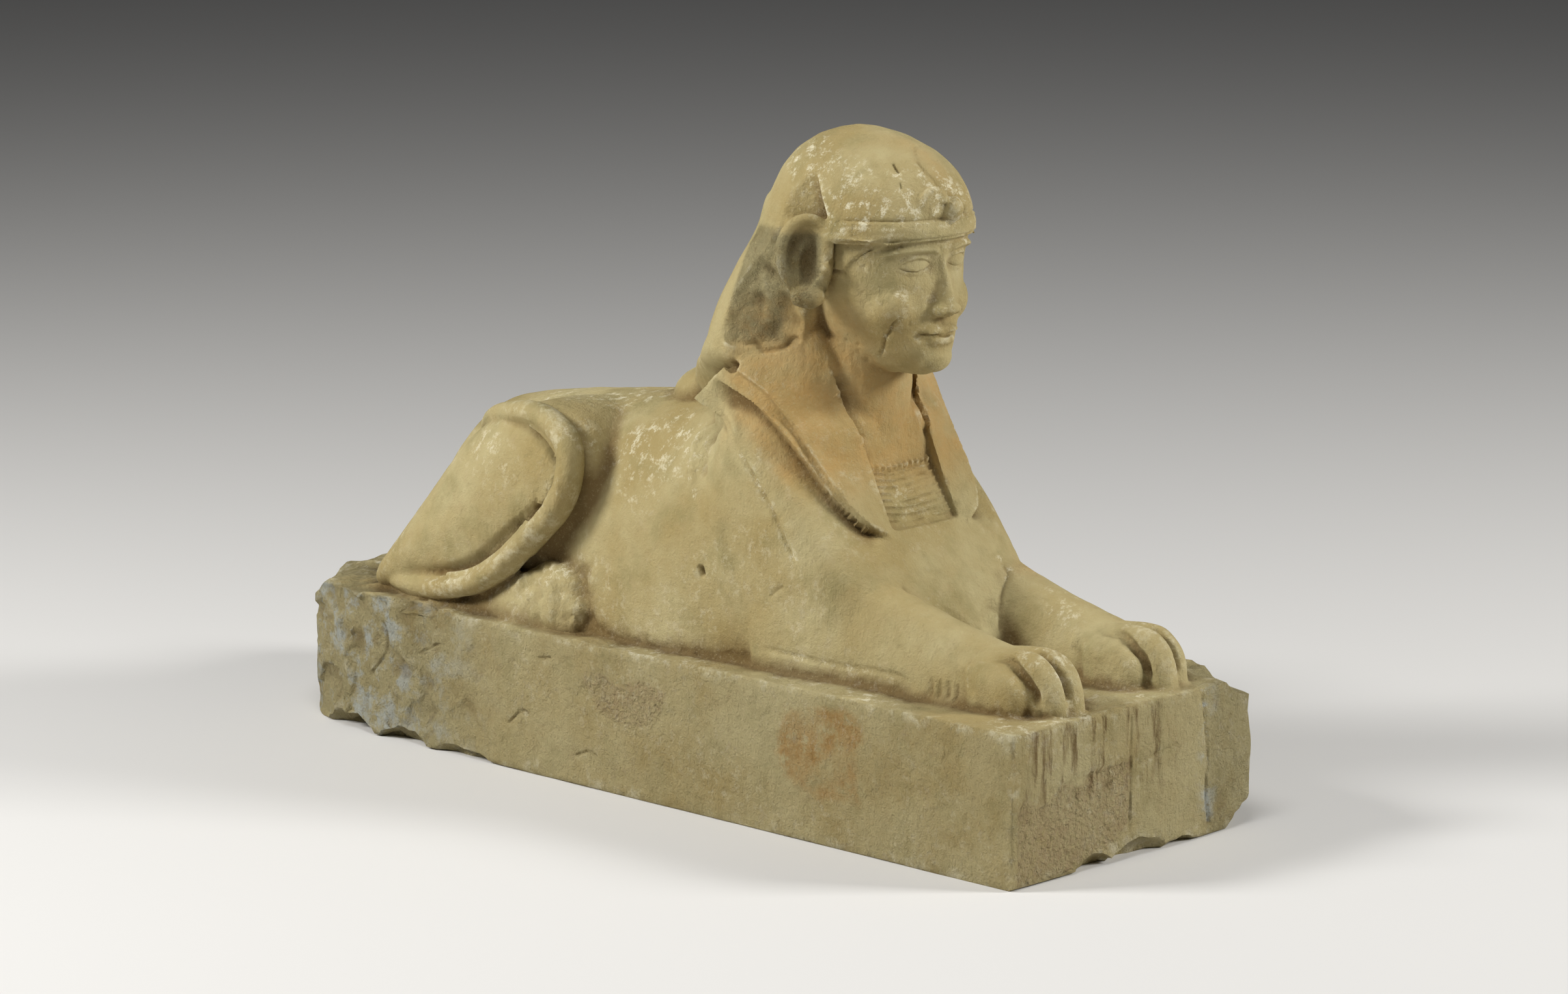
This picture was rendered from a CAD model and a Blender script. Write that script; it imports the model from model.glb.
import math

import bpy
import numpy as np
from mathutils import Euler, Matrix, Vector
from mathutils.bvhtree import BVHTree


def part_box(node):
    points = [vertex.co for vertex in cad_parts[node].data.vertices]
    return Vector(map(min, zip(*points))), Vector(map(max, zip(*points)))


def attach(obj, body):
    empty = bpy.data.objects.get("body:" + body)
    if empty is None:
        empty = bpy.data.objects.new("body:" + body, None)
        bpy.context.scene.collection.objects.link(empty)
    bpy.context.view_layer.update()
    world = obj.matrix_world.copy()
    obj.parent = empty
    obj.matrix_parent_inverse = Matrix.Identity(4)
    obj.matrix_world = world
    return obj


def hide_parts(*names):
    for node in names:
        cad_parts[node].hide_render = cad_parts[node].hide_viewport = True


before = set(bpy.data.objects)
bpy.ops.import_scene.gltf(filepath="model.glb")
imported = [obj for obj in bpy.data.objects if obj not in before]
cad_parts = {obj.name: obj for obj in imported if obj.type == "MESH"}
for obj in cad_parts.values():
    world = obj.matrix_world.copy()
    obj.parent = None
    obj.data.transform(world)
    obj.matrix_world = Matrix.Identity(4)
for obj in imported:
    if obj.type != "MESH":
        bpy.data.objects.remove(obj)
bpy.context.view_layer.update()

MM = 0.001
LOW, HIGH = (np.array(corner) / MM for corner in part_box("sphinx_statue"))
SIDE, FRONT, REAR, CROWN = HIGH[0], LOW[1], HIGH[1], HIGH[2]
# The plinth's top, and how low the figure's forms reach inside the plinth
DECK = 150.0
BURIED = DECK - 34.0
SIDES = (-1, 1)
# Grain of the remeshed skins, and how often each is rubbed down afterwards
BODY_VOXEL, BODY_RUBS = 4.0, 9
FINE_VOXEL, FACE_RUBS, LAST_RUBS = 1.8, 7, 2
MOST_TRIANGLES = 192000
SEAM_GAP = 1e-6
SHADING_ANGLE = math.radians(60)


# ---------------------------------------------------------------- hand tools
def only(*objects):
    """Leaves just these objects selected, the first of them active."""
    bpy.ops.object.select_all(action="DESELECT")
    for obj in objects:
        obj.select_set(True)
    bpy.context.view_layer.objects.active = objects[0]
    return objects[0]


def finish_with(obj, kind, **settings):
    """Adds one modifier with its settings and applies it."""
    only(obj)
    modifier = obj.modifiers.new(kind.title(), kind)
    for key, value in settings.items():
        setattr(modifier, key, value)
    bpy.ops.object.modifier_apply(modifier=modifier.name)
    return obj


def joined(objects, name):
    """Makes one object of several, under a new name."""
    only(*objects)
    bpy.ops.object.join()
    made = bpy.context.view_layer.objects.active
    made.name = name
    return made


def read_points(obj):
    """The mesh's points, in millimetres."""
    flat = np.empty(len(obj.data.vertices) * 3)
    obj.data.vertices.foreach_get("co", flat)
    return flat.reshape(-1, 3) / MM


def write_points(obj, points):
    """Puts the mesh's points at places given in millimetres."""
    obj.data.vertices.foreach_set("co", (points * MM).ravel())
    obj.data.update()


def remeshed(obj, voxel, rubs):
    """Melts joined forms into one skin and rubs it down."""
    finish_with(obj, "REMESH", mode="VOXEL", voxel_size=voxel * MM)
    return finish_with(obj, "SMOOTH", factor=0.5, iterations=rubs)


def sewn(obj):
    """Merges a seam, closes open ends and turns every face outwards."""
    only(obj)
    bpy.ops.object.mode_set(mode="EDIT")
    bpy.ops.mesh.select_all(action="SELECT")
    bpy.ops.mesh.remove_doubles(threshold=SEAM_GAP)
    bpy.ops.mesh.fill_holes(sides=0)
    bpy.ops.mesh.normals_make_consistent(inside=False)
    bpy.ops.object.mode_set(mode="OBJECT")
    return obj


def rolled(name, rings):
    """Rolls a sheet into a tube through closed rings of points and closes both ends."""
    rings = np.asarray(rings, float)
    levels, around = rings.shape[:2]
    bpy.ops.object.select_all(action="DESELECT")
    bpy.ops.mesh.primitive_grid_add(x_subdivisions=around, y_subdivisions=levels - 1, size=2)
    obj = bpy.context.active_object
    obj.name = name
    flat = read_points(obj)
    column = np.rint((flat[:, 0] * MM + 1) / 2 * around).astype(int) % around
    row = np.rint((flat[:, 1] * MM + 1) / 2 * (levels - 1)).astype(int)
    write_points(obj, rings[row, column])
    return sewn(obj)


def ball(name, centre, radii, turn=(0, 0, 0), cuts=4):
    """A ball primitive at its size and place, to be joined or cut away."""
    bpy.ops.object.select_all(action="DESELECT")
    bpy.ops.mesh.primitive_ico_sphere_add(
        subdivisions=cuts, radius=1, location=np.array(centre) * MM, rotation=turn
    )
    obj = bpy.context.active_object
    obj.name = name
    obj.scale = np.array(radii, float) * MM
    bpy.ops.object.transform_apply(location=True, rotation=True, scale=True)
    return obj


def cut_with(obj, cutter):
    """Takes the cutter's shape out of the object."""
    finish_with(obj, "BOOLEAN", operation="DIFFERENCE", object=cutter, solver="EXACT")
    bpy.data.objects.remove(cutter)
    return obj


# ---------------------------------------------------------------- curves and sections
def table_at(rows, station):
    """Reads [station, value, value, ...] rows at any station along a smooth curve."""
    rows = np.asarray(rows, float)
    k = int(np.clip(np.searchsorted(rows[:, 0], station) - 1, 0, len(rows) - 2))
    before, start, end = rows[max(k - 1, 0), 1:], rows[k, 1:], rows[k + 1, 1:]
    after = rows[min(k + 2, len(rows) - 1), 1:]
    t = np.clip((station - rows[k, 0]) / (rows[k + 1, 0] - rows[k, 0]), 0, 1)
    slope_in, slope_out, rise = (end - before) / 2, (after - start) / 2, end - start
    bend = 3 * rise - 2 * slope_in - slope_out
    return start + t * (slope_in + t * (bend + t * (slope_in + slope_out - 2 * rise)))


def stations(rows, count):
    """Evenly spaced stations from a table's first row to its last."""
    return np.linspace(rows[0][0], rows[-1][0], count)


def smooth_path(points, count, closed=False):
    """Evenly spaced points along a smooth curve through the given ones."""
    points = np.asarray(points, float)
    if closed:
        points = np.vstack([points[-1:], points, points[:2]])
    else:
        points = np.vstack([2 * points[:1] - points[1:2], points, 2 * points[-1:] - points[-2:-1]])
    t = np.linspace(0, 1, 24, endpoint=False)[:, None]
    parts = []
    for a, b, c, d in zip(points, points[1:], points[2:], points[3:]):
        parts.append(b + 0.5 * t * (c - a + t * (2 * a - 5 * b + 4 * c - d + t * (3 * b - a - 3 * c + d))))
    dense = np.vstack(parts + [points[-2:-1]])
    steps = np.r_[0, np.cumsum(np.linalg.norm(np.diff(dense, axis=0), axis=1))]
    marks = np.linspace(0, steps[-1], count, endpoint=not closed)
    return np.stack([np.interp(marks, steps, axis) for axis in dense.T], axis=1)


def powered(values, power):
    """A power that keeps the sign, for rings between an ellipse and a rectangle."""
    return np.sign(values) * np.abs(values) ** power


def arch_ring(y, half_width, top, power, middle_x=0.0, bottom=BURIED, count=60):
    """Upright arch across the body at one y, closed below inside the plinth."""
    angle = np.linspace(0, np.pi, count)
    x = middle_x + half_width * powered(np.cos(angle), 2 / power)
    z = bottom + (top - bottom) * powered(np.sin(angle), 2 / power)
    return np.stack([x, np.full(count, float(y)), z], axis=1)


def level_ring(z, middle_y, half_width, front_depth, back_depth, power, middle_x=0.0, count=72):
    """Level ring with one half-depth towards the front and another towards the back."""
    angle = np.linspace(0, 2 * np.pi, count, endpoint=False)
    depth = np.where(np.sin(angle) < 0, front_depth, back_depth)
    x = middle_x + half_width * powered(np.cos(angle), 2 / power)
    y = middle_y + depth * powered(np.sin(angle), 2 / power)
    return np.stack([x, y, np.full(count, float(z))], axis=1)


def level_loft(name, rows, levels, middle_x=0.0, count=72):
    """A form built up from level rings, with one row of a table for each height."""
    rings = [level_ring(z, *table_at(rows, z), middle_x, count) for z in stations(rows, levels)]
    return rolled(name, rings)


def rope(name, points, radii, steps, sides=14):
    """Rope along a smooth path: radii gives [share of length, radius across, radius out] rows."""
    centres = smooth_path(points, steps)
    along = np.gradient(centres, axis=0)
    along /= np.linalg.norm(along, axis=1)[:, None]
    across = np.cross(along[0], [0.3, 0.2, 0.93])
    rings = []
    for step, centre in enumerate(centres):
        across = across - along[step] * across.dot(along[step])
        across /= np.linalg.norm(across)
        out = np.cross(along[step], across)
        wide, deep = table_at(radii, step / (steps - 1))
        turn = np.linspace(0, 2 * np.pi, sides, endpoint=False)[:, None]
        rings.append(centre + wide * np.cos(turn) * across + deep * np.sin(turn) * out)
    return rolled(name, rings)


# The noise's grid is turned away from the axes, so that its rows don't show, and moved on for each seed.
TURN = np.array(Euler((0.7, 0.4, 1.1)).to_matrix())
SEED_SHIFT = 31.7
# Large whole numbers that scramble a grid corner's place and seed into a random height
MIX_X, MIX_Y, MIX_Z, MIX_SEED, MIX_AGAIN = 374761393, 668265263, 2147483647, 974711, 1274126177
ALL_BITS, LOW_BITS = 0xFFFFFFFF, 0xFFFF


def noise(points, grain, seed):
    """Smooth random heights from -1 to 1, in bumps about one grain across."""
    turned = points @ TURN.T / grain + SEED_SHIFT * seed
    cell = np.floor(turned).astype(np.int64)
    part = turned - cell
    fade = part * part * part * (part * (part * 6 - 15) + 10)
    total = np.zeros(len(points))
    for corner in np.ndindex(2, 2, 2):
        x, y, z = (cell + corner).T
        mixed = (x * MIX_X + y * MIX_Y + z * MIX_Z + seed * MIX_SEED) & ALL_BITS
        mixed = ((mixed ^ (mixed >> 13)) * MIX_AGAIN) & ALL_BITS
        height = ((mixed ^ (mixed >> 16)) & LOW_BITS) / (LOW_BITS / 2) - 1
        weight = np.where(corner, fade, 1 - fade).prod(axis=1)
        total += height * weight
    return total


# ---------------------------------------------------------------- plinth
def quadratic(start, control, end, count=9):
    """Points along a curve that leaves its start and reaches its end towards the control point."""
    t = np.linspace(0, 1, count)[:, None]
    start, control, end = (np.array(p, float) for p in (start, control, end))
    return (1 - t) ** 2 * start + 2 * t * (1 - t) * control + t * t * end


def plinth_outline():
    """The plinth from above, with a sharp right front corner and the others worn round."""
    front_corner = quadratic((168, FRONT + 3), (SIDE, FRONT + 5), (SIDE, FRONT + 20))
    left_rear = quadratic((SIDE, REAR - 60), (SIDE, REAR), (SIDE - 70, REAR))
    right_rear = quadratic((-70, REAR), (-150, REAR - 4), (-164, REAR - 60))
    right_side = quadratic((-164, REAR - 60), (-SIDE, REAR - 100), (-SIDE, REAR - 150))
    return np.vstack([[(-SIDE, FRONT), (104, FRONT)], front_corner, left_rear, right_rear, right_side[1:]])


# Height, and how far the worn edge is drawn in there
PLINTH_LEVELS = [(0, 5), (2, 1.5), (6, 0), (DECK - 5, 0), (DECK - 1.5, 1.2), (DECK, 4)]
# Losses along the edges: (x, y, z), half sizes, turn about Z
CHIPS = [
    ((-62, FRONT, -6), (34, 16, 20), 0.2),
    ((6, FRONT, -8), (46, 20, 24), -0.1),
    ((62, FRONT, -8), (30, 14, 18), 0.3),
    ((SIDE + 6, FRONT - 4, -8), (46, 46, 34), 0.7),
    ((SIDE + 8, FRONT + 6, DECK + 18), (60, 74, 38), 0.5),
    ((-SIDE, 235, -14), (16, 60, 24), 0.1),
    ((-SIDE - 2, 322, -12), (22, 44, 28), -0.2),
    ((-SIDE + 2, 420, -16), (34, 70, 34), 0.35),
    ((-SIDE - 4, 320, DECK + 4), (16, 60, 16), 0.05),
    ((SIDE, 180, -10), (18, 60, 22), 0.1),
    ((SIDE, 430, DECK + 6), (24, 70, 26), -0.1),
]
CHIP_GRAIN, CHIP_HEIGHT, CHIP_SEED = 16, 3.2, 40
# The slab that has split off the right rear corner
SLAB_SIZE, SLAB_SLOPE, SLAB_TURN = (400, 90, 120), -0.7, 0.74
SLAB_PLACE = (-150, REAR + 23, DECK + 26)
SLAB_GRAIN, SLAB_HEIGHT, SLAB_SEED = 40, 5, 70


def crumpled(obj, grain, height, seed):
    """Knocks a plain form into a broken stone surface."""
    points = read_points(obj)
    outward = points - points.mean(axis=0)
    outward /= np.linalg.norm(outward, axis=1)[:, None]
    rough = noise(points, grain, seed) + 0.5 * noise(points, grain / 2.3, seed + 1)
    write_points(obj, points + outward * (height * rough)[:, None])
    return obj


def split_slab():
    """The piece that is missing at the right rear, leaning back and turned across the corner."""
    bpy.ops.object.select_all(action="DESELECT")
    bpy.ops.mesh.primitive_cube_add(size=1, location=(0, 0, 0))
    slab = bpy.context.active_object
    slab.dimensions = Vector(SLAB_SIZE) * MM
    slab.rotation_euler = Euler((SLAB_SLOPE, 0, 0))
    bpy.ops.object.transform_apply(location=False, rotation=True, scale=True)
    slab.rotation_euler = Euler((0, 0, SLAB_TURN))
    slab.location = Vector(SLAB_PLACE) * MM
    bpy.ops.object.transform_apply(location=True, rotation=True, scale=True)
    finish_with(slab, "SUBSURF", subdivision_type="SIMPLE", levels=5, render_levels=5)
    return crumpled(slab, SLAB_GRAIN, SLAB_HEIGHT, SLAB_SEED)


def plinth():
    """A sawn block with worn edges, chips along them and one split corner."""
    outline = plinth_outline()
    towards = outline.mean(axis=0) - outline
    rings = []
    for z, inset in PLINTH_LEVELS:
        shrink = inset / np.abs(towards).max(axis=1)
        rings.append(np.c_[outline + towards * shrink[:, None], np.full(len(outline), float(z))])
    block = rolled("plinth", rings)
    for number, (centre, sizes, turn) in enumerate(CHIPS):
        chip = ball("chip", centre, sizes, (0, 0, turn))
        cut_with(block, crumpled(chip, CHIP_GRAIN, CHIP_HEIGHT, CHIP_SEED + number))
    return cut_with(block, split_slab())


# ---------------------------------------------------------------- lion's body
# Trunk, section by section: [y, half width, top, squareness]
TRUNK = [
    [-170, 128, 410, 3.4],
    [-90, 142, 405, 3.3],
    [-20, 148, 393, 3.0],
    [60, 146, 384, 2.7],
    [140, 140, 375, 2.5],
    [230, 132, 364, 2.4],
    [300, 124, 353, 2.3],
    [345, 117, 335, 2.2],
    [385, 109, 284, 2.2],
    [420, 101, 226, 2.2],
    [452, 86, 166, 2.2],
]

# Chest and shoulders, level by level: [z, middle y, half width, front depth, back depth, squareness]
CHEST = [
    [BURIED, -130, 134, 210, 90, 4.4],
    [195, -130, 138, 186, 90, 4.4],
    [245, -130, 141, 155, 100, 4.2],
    [285, -128, 141, 126, 100, 3.8],
    [318, -126, 139, 110, 100, 2.9],
    [350, -124, 135, 99, 90, 2.3],
    [385, -118, 129, 90, 80, 2.2],
    [412, -108, 119, 76, 76, 2.2],
    [432, -98, 92, 58, 60, 2.2],
]

# Folded hind leg seen from the side: (y, z)
THIGH_OUTLINE = [
    (160, 372), (112, 362), (86, 322), (98, 276), (140, 232), (200, 188), (270, 160),
    (350, 150), (412, 156), (372, 210), (320, 272), (272, 326), (220, 360),
]
THIGH_MIDDLE = np.array((215, 266))
# Its swell outwards: [layer, x, share of the outline]
THIGH_LAYERS = [
    [0, 60, 1], [1, 132, 1], [2, 148, 0.93], [3, 162, 0.78], [4, 171, 0.56], [5, 176, 0.3], [6, 178, 0.02],
]
# It leans in towards its top, and the left one ends lower than the right one.
THIGH_FOOT, THIGH_TOP, THIGH_LEAN, LEFT_DROP = 158, 372, 22, 22

# Skin fold that runs round the thigh as a thick rounded band: (x, y, z)
BAND = [
    (66, 322, 306), (104, 262, 342), (126, 205, 358), (137, 150, 361), (146, 108, 344),
    (151, 99, 312), (154, 112, 278), (157, 144, 244), (160, 186, 207), (161, 232, 181),
    (158, 300, 167), (142, 372, 162), (98, 404, 148),
]
# Radii of ropes: [share of the length, radius across, radius out]
BAND_RADII = [
    [0, 3, 3], [0.15, 12, 11], [0.35, 15, 14], [0.5, 17, 13], [0.7, 17, 12], [0.85, 13, 12], [1, 6, 6],
]
# Stone left between the band and the deck
BAND_FOOT = [(146, 206, 154), (152, 260, 148), (150, 330, 146), (132, 400, 144)]
BAND_FOOT_RADII = [[0, 8, 8], [0.5, 13, 13], [1, 9, 9]]

# [y, half width, top], then the toes in front of it: (x, y, radius)
HIND_PAW = [[88, 27, 196], [104, 31, 212], [140, 33, 213], [190, 32, 194], [260, 28, 164]]
HIND_TOES = [(112, 92, 20), (138, 98, 21), (154, 122, 17)]
HIND_PAW_X = 132

# Foreleg, section by section: [y, half width, top, squareness, middle x]
FORELEG = [
    [-470, 41, 194, 2.6, 80],
    [-430, 43, 204, 2.5, 80],
    [-385, 45, 214, 2.4, 82],
    [-320, 47, 231, 2.5, 84],
    [-250, 50, 250, 2.8, 88],
    [-180, 54, 270, 3.2, 90],
    [-146, 52, 276, 3.2, 90],
]
# The low skirt of stone round it: [y, half width]
LEG_SKIRT = [[-446, 44], [-400, 60], [-250, 64], [-150, 62]]
LEG_SKIRT_X, LEG_SKIRT_RISE = 92, 22


def thigh_height(side, z):
    """The left thigh is carved a little lower than the right one."""
    share = (z - THIGH_FOOT) / (THIGH_TOP - THIGH_FOOT)
    return z - LEFT_DROP * share if side > 0 else z


def thigh(side):
    """The folded hind leg, swelling out of the flank in layers."""
    outline = smooth_path(THIGH_OUTLINE, 90, closed=True)
    rings = []
    for layer in np.linspace(0, len(THIGH_LAYERS) - 1, 25):
        x, share = table_at(THIGH_LAYERS, layer)
        y, z = (THIGH_MIDDLE + (outline - THIGH_MIDDLE) * share).T
        lean = THIGH_LEAN * (z - THIGH_FOOT) / (THIGH_TOP - THIGH_FOOT)
        rings.append(np.stack([side * (x - lean), y, thigh_height(side, z)], axis=1))
    return rolled("thigh", rings)


def thigh_band(side):
    """The band over the thigh, with the stone that joins it to the deck."""
    points = [(side * x, y, thigh_height(side, z)) for x, y, z in BAND]
    foot = rope("thigh_foot", [(side * x, y, z) for x, y, z in BAND_FOOT], BAND_FOOT_RADII, 30, 12)
    return joined([rope("thigh_band", points, BAND_RADII, 90), foot], "thigh_band")


def hind_paw(side):
    """The hind foot lying under the thigh, with its toes in front."""
    rings = []
    for y in stations(HIND_PAW, 24):
        half_width, top = table_at(HIND_PAW, y)
        rings.append(arch_ring(y, half_width, top, 3, side * HIND_PAW_X, count=30))
    toes = [ball("hind_toe", (side * x, y, DECK + 18), (0.8 * r, r, 34)) for x, y, r in HIND_TOES]
    return [rolled("hind_paw", rings), *toes]


def foreleg(side):
    """A foreleg lying on the deck, and the low skirt of stone that it grows out of."""
    legs, skirts = [], []
    for y in stations(FORELEG, 60):
        half_width, top, power, x = table_at(FORELEG, y)
        legs.append(arch_ring(y, half_width, top, power, side * x, count=40))
    for y in stations(LEG_SKIRT, 24):
        half_width = table_at(LEG_SKIRT, y)[0]
        skirts.append(arch_ring(y, half_width, DECK + LEG_SKIRT_RISE, 1.5, side * LEG_SKIRT_X, count=24))
    return [rolled("foreleg", legs), rolled("leg_skirt", skirts)]


# Side view of the hollow between the lappets, down to the collar's surface: (y, z), with its half width
COLLAR_TOP, COLLAR_BOTTOM, COLLAR_SPAN = (-210, 342), (-243, 291), 47
THROAT = [(-244, 287), COLLAR_TOP, (-194, 470), (-333, 470), (-333, 287)]


def throat():
    """What is cut away under the chin, to leave the flat slope that bears the collar."""
    rings = [[(x, y, z) for y, z in THROAT] for x in (-COLLAR_SPAN, COLLAR_SPAN)]
    return rolled("throat", rings)


def body_block():
    """Trunk, shoulders, thighs and forelegs run into each other like one carved skin."""
    forms = [
        rolled("trunk", [arch_ring(y, *table_at(TRUNK, y)) for y in stations(TRUNK, 90)]),
        level_loft("chest", CHEST, 48, count=90),
    ]
    for side in SIDES:
        forms += [thigh(side), *foreleg(side)]
    return cut_with(remeshed(joined(forms, "body"), BODY_VOXEL, BODY_RUBS), throat())


PAW_X = 80
# The two long middle toes: (how far inwards from the paw's middle, knuckle's y, radius, top)
TOES = [(-8, -474, 16, 206), (11, -478, 16, 207)]
# The skin that joins the toes, seen from the side: (y, z)
TOE_WEB = [(-400, 176), (-452, 172), (-476, DECK + 4), (-480, DECK - 12)]
TOE_WEB_RADII = [[0, 38, 24], [0.6, 34, 20], [1, 30, 14]]
# A short side toe, level by level: [z, middle y, half width, front depth, back depth, squareness]
SIDE_TOE = [
    [BURIED, -450, 21, 30, 40, 3.2],
    [162, -450, 22, 31, 42, 3.2],
    [178, -448, 21, 29, 42, 3.0],
    [189, -444, 17, 21, 38, 2.6],
    [195, -440, 8, 10, 26, 2.2],
]
# Where the side toes stand: (how far outwards from the paw's middle, how much further forward)
SIDE_TOE_PLACES = [(26, 0), (-26, 8)]


def long_toe(side, offset, knuckle_y, radius, top):
    """From the back of the paw over a high knuckle and straight down to a blunt tip on the deck."""
    x = PAW_X - offset
    path = [
        (PAW_X - 0.7 * offset, knuckle_y + 60, top - radius - 4),
        (x, knuckle_y + 12, top - radius),
        (x, knuckle_y - 6, top - radius - 6),
        (x, knuckle_y - 16, DECK + 20),
        (x, knuckle_y - 20, DECK - 8),
    ]
    radii = [[share, width * radius, radius] for share, width in ((0, 1), (0.5, 1), (0.75, 0.92), (1, 0.95))]
    return rope("toe", [(side * px, py, pz) for px, py, pz in path], radii, 40, 20)


def front_toes(side):
    """The four toes of a front paw, over the web that joins them."""
    toes = [long_toe(side, *toe) for toe in TOES]
    toes.append(rope("toe_web", [(side * PAW_X, y, z) for y, z in TOE_WEB], TOE_WEB_RADII, 40, 24))
    for offset, further in SIDE_TOE_PLACES:
        rows = [[z, middle_y - further, *rest] for z, middle_y, *rest in SIDE_TOE]
        toes.append(level_loft("side_toe", rows, 20, side * (PAW_X + offset), 40))
    return toes


# ---------------------------------------------------------------- head
CHIN, BROW_BAND = 440, 580
# The common proportions of a head: heights as shares of its height from the chin to the crown
HEAD_HEIGHT = CROWN - CHIN
MOUTH_Z, NOSE_Z, EYES_Z, BROWS_Z = (CHIN + share * HEAD_HEIGHT for share in (0.165, 0.25, 0.455, 0.53))
# The face's flat front, and the middle that its rings are drawn round
FACE_FRONT, FACE_BASE = -272, -184

# Dome, side wings and neck, level by level: [z, middle y, half width, front depth, back depth, squareness]
DOME = [
    [573, -162, 94, 115, 91, 2.15],
    [592, -161, 94, 118, 91, 2.15],
    [612, -161, 88, 115, 85, 2.1],
    [632, -161, 77, 104, 76, 2.1],
    [650, -160, 62, 84, 62, 2.0],
    [664, -160, 40, 55, 42, 2.0],
    [671, -160, 20, 27, 22, 2.0],
    [674, -160, 4, 5, 5, 2.0],
]
WINGS = [
    [394, -50, 56, 60, 104, 2.2],
    [424, -72, 86, 70, 104, 2.3],
    [446, -96, 117, 62, 92, 2.4],
    [462, -102, 122, 60, 83, 2.4],
    [500, -112, 117, 62, 84, 2.2],
    [540, -130, 104, 56, 84, 2.2],
    [575, -150, 97, 46, 84, 2.2],
    [604, -156, 89, 36, 84, 2.2],
    [622, -160, 72, 30, 70, 2.2],
]
NECK = [
    [300, -156, 62, 60, 60, 2.1], [350, -156, 54, 52, 54, 2.1], [400, -156, 53, 53, 52, 2.1],
    [440, -158, 54, 54, 52, 2.1], [470, -162, 56, 60, 60, 2.1],
]
# [share of the height from the chin to the brow band, half width, depth]
FACE = [
    [-0.03, 16, 66], [0.03, 32, 80], [0.14, 47, 86], [0.35, 64, 84], [0.6, 73, 85], [0.8, 77, 88],
    [1.05, 78, 90],
]
# [z, half width, how far it stands out]
NOSE = [
    [NOSE_Z - 3, 12, 11], [NOSE_Z + 4, 15, 18], [NOSE_Z + 13, 11, 16], [NOSE_Z + 28, 8, 11],
    [EYES_Z + 2, 7, 6], [BROWS_Z + 4, 9, 2],
]


def face():
    """The plain masses of a face, rubbed into each other before the features are cut."""
    rings = []
    for share in stations(FACE, 50):
        half_width, depth = table_at(FACE, share)
        z = CHIN + share * (BROW_BAND - CHIN)
        rings.append(level_ring(z, FACE_BASE, half_width, depth, 40, 2.3))
    nose_rings = []
    for z in stations(NOSE, 24):
        half_width, out = table_at(NOSE, z)
        nose_rings.append(level_ring(z, FACE_FRONT + 6, half_width, out + 4, 10, 2, count=30))
    masses = [
        rolled("face", rings),
        rolled("nose", nose_rings),
        ball("lower_lip", (0, FACE_FRONT + 5, MOUTH_Z - 6), (19, 10, 6.5)),
        ball("chin", (0, FACE_FRONT + 15, CHIN + 15), (22, 17, 16)),
    ]
    for side in SIDES:
        lip_turn = (0, side * 0.14, 0)
        masses += [
            ball("upper_lip", (side * 8, FACE_FRONT + 5, MOUTH_Z + 4.5), (16, 8.5, 5.5), lip_turn),
            ball("nose_wing", (side * 11.5, FACE_FRONT - 3, NOSE_Z + 4.5), (6, 9, 6)),
            ball("cheek", (side * 36, FACE_FRONT + 43, NOSE_Z + 10), (27, 34, 30)),
        ]
    return remeshed(joined(masses, "face"), FINE_VOXEL, FACE_RUBS)


# The ear is laid out on its own tilted face: (rear, up, out) from its middle.
EAR_MIDDLE, EAR_TURN = (98, -184, 550), 0.62
EAR_RIM = [
    (14, -27, 0), (23, -12, 3), (27, 6, 4), (25, 22, 4), (16, 37, 3), (3, 43, 1), (-10, 40, -1),
    (-18, 29, -2), (-20, 12, -3), (-15, -2, -5), (-6, -8, -7),
]
EAR_RIM_RADII = [[0, 5, 5], [0.2, 6.4, 6], [0.5, 5.6, 6], [0.75, 4, 5], [1, 2.5, 4]]
EAR_FOLD = [(9, -18, 0), (13, -4, -2), (10, 9, -3), (4, 20, -4), (-3, 28, -5)]
EAR_FOLD_RADII = [[0, 4, 4], [0.5, 3.6, 4], [1, 2, 3]]


def on_ear(side, rear, up, out):
    """A place given on the ear's own face, as a place in the statue."""
    x, y, z = EAR_MIDDLE
    cos, sin = math.cos(EAR_TURN), math.sin(EAR_TURN)
    return (side * (x + rear * sin + out * cos), y + rear * cos - out * sin, z + up)


def ear(side):
    """A dished shell with a rolled rim and an inner fold, standing out on a thick root."""
    turn = (0, 0, -side * EAR_TURN)
    shell = ball("ear", on_ear(side, 2, 1, -6), (13, 25, 43), turn)
    cut_with(shell, ball("ear_dish", on_ear(side, 2, 7, 8), (13, 19, 31), turn))
    rim = rope("ear_rim", [on_ear(side, *point) for point in EAR_RIM], EAR_RIM_RADII, 50, 12)
    fold = rope("ear_fold", [on_ear(side, *point) for point in EAR_FOLD], EAR_FOLD_RADII, 24, 10)
    tab = ball("ear_tab", on_ear(side, -16, -6, -2), (7, 6, 9), turn)
    lobe = crumpled(ball("ear_lobe", on_ear(side, 2, -34, 2), (11, 17, 12), turn), 9, 2.0, 91)
    root = ball("ear_root", on_ear(side, -8, 0, -22), (16, 16, 36), turn)
    return [shell, rim, fold, tab, lobe, root]


# Front panel of the headcloth: rows of outer edge x, y, z and inner edge x, y, z from the top.
LAPPET = [
    [0, 124, -96, 444, 74, -140, 474],
    [1, 117, -142, 420, 60, -178, 440],
    [2, 108, -170, 390, 51, -192, 396],
    [3, 102, -195, 359, 48, -214, 356],
    [4, 95, -224, 325, 47, -232, 320],
    [5, 80, -245, 298, 48, -246, 295],
    [6, 58, -254, 283, 54, -254, 281],
]
# From the outer edge to the rim at the top; it comes to nothing at RIM_END, just past the point.
LAPPET_RIM, RIM_END = np.array((4, 13, -15)), 6.6
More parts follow.
